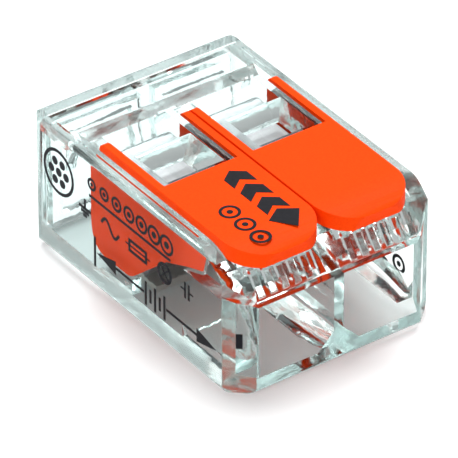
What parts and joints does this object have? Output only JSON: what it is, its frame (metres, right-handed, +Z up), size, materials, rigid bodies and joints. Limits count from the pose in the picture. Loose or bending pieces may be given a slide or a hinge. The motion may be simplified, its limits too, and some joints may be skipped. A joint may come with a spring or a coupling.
{
  "type": "lever wire connector",
  "caption": "Clear box-shaped wire connector with orange hinged levers on top, open wire entries at the front, and a busbar with clamping springs inside.",
  "frame": {"origin": "middle of the underside of the housing", "axes": "+X across the poles, +Y from the wire entries to the back, +Z up through the levers"},
  "size_m": [0.0132, 0.0186, 0.0083],
  "materials": {
    "clear_plastic": "clear polished polycarbonate",
    "orange_plastic": "satin moulded",
    "spring_steel": "rolled strip",
    "tinned_copper": "dull tin plating"
  },
  "bodies": {
    "housing_body": {"housing": "clear_plastic", "rear_cover": "clear_plastic", "busbar": "tinned_copper", "clamp_spring_right": "spring_steel", "clamp_spring_left": "spring_steel"},
    "right_lever": {"lever_right": "orange_plastic"},
    "left_lever": {"lever_left": "orange_plastic"},
    "right_leg": {"clamp_leg_right": "spring_steel"},
    "left_leg": {"clamp_leg_left": "spring_steel"}
  },
  "joints": [
    {"name": "lever_right_hinge", "type": "hinge", "parent": "housing_body", "child": "right_lever", "pos_m": [0.00282, 0.0018, 0.0047], "axis": [-1, 0, 0], "range_deg": [0, 90]},
    {"name": "lever_left_hinge", "type": "hinge", "parent": "housing_body", "child": "left_lever", "pos_m": [-0.00282, 0.0018, 0.0047], "axis": [-1, 0, 0], "range_deg": [0, 90]},
    {"name": "leg_right_flex", "type": "hinge", "parent": "housing_body", "child": "right_leg", "pos_m": [0.00282, -0.0005, 0.00535], "axis": [1, 0, 0], "range_deg": [0, 45]},
    {"name": "leg_left_flex", "type": "hinge", "parent": "housing_body", "child": "left_leg", "pos_m": [-0.00282, -0.0005, 0.00535], "axis": [1, 0, 0], "range_deg": [0, 45]}
  ],
  "couplings": [
    {"joint": "leg_right_flex", "follows": "lever_right_hinge", "ratio": 0.5},
    {"joint": "leg_left_flex", "follows": "lever_left_hinge", "ratio": 0.5}
  ]
}
